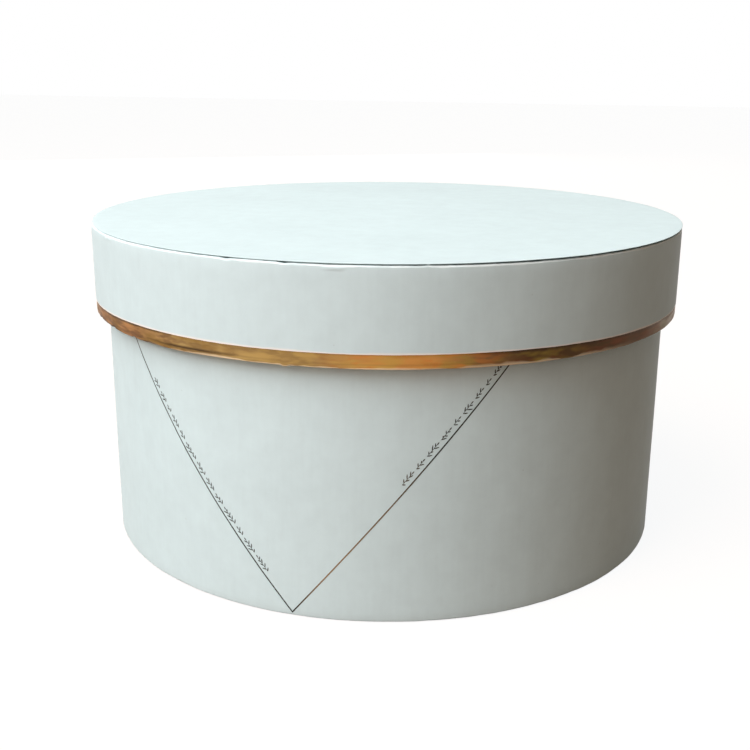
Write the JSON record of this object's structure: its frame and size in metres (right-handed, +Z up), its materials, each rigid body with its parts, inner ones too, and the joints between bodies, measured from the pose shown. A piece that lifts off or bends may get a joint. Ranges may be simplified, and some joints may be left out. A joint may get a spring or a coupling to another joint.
{
  "type": "round gift box",
  "caption": "Low round paper-covered gift box with a telescoping lift-off lid, a narrow gold foil edging and a thin foil chevron on its front.",
  "frame": {"origin": "centre of the box's foot, on the surface it stands on", "axes": "+Z up along the box's axis, and the foil chevron's point faces -Y"},
  "size_m": [0.3, 0.3, 0.16],
  "materials": {
    "cover_paper": "satin pale mint covering paper",
    "gold_foil": "gloss gold foil on paper",
    "lining_paper": "matte white lining paper",
    "greyboard": "matte grey board"
  },
  "bodies": {
    "base": {"base_wall_board": "greyboard", "base_floor_board": "greyboard", "base_side_wrap": "cover_paper", "base_foot_sheet": "lining_paper", "base_wall_lining": "lining_paper", "base_floor_lining": "lining_paper", "foil_chevron": "gold_foil"},
    "lid": {"lid_wall_board": "greyboard", "lid_top_board": "greyboard", "lid_side_wrap": "cover_paper", "lid_gold_edging": "gold_foil", "lid_top_sheet": "cover_paper", "lid_wall_lining": "lining_paper", "lid_ceiling_lining": "lining_paper"}
  },
  "joints": [
    {"name": "lid_lift", "type": "slide", "parent": "base", "child": "lid", "axis": [0, 0, 1], "range_m": [0, 0.2]}
  ]
}
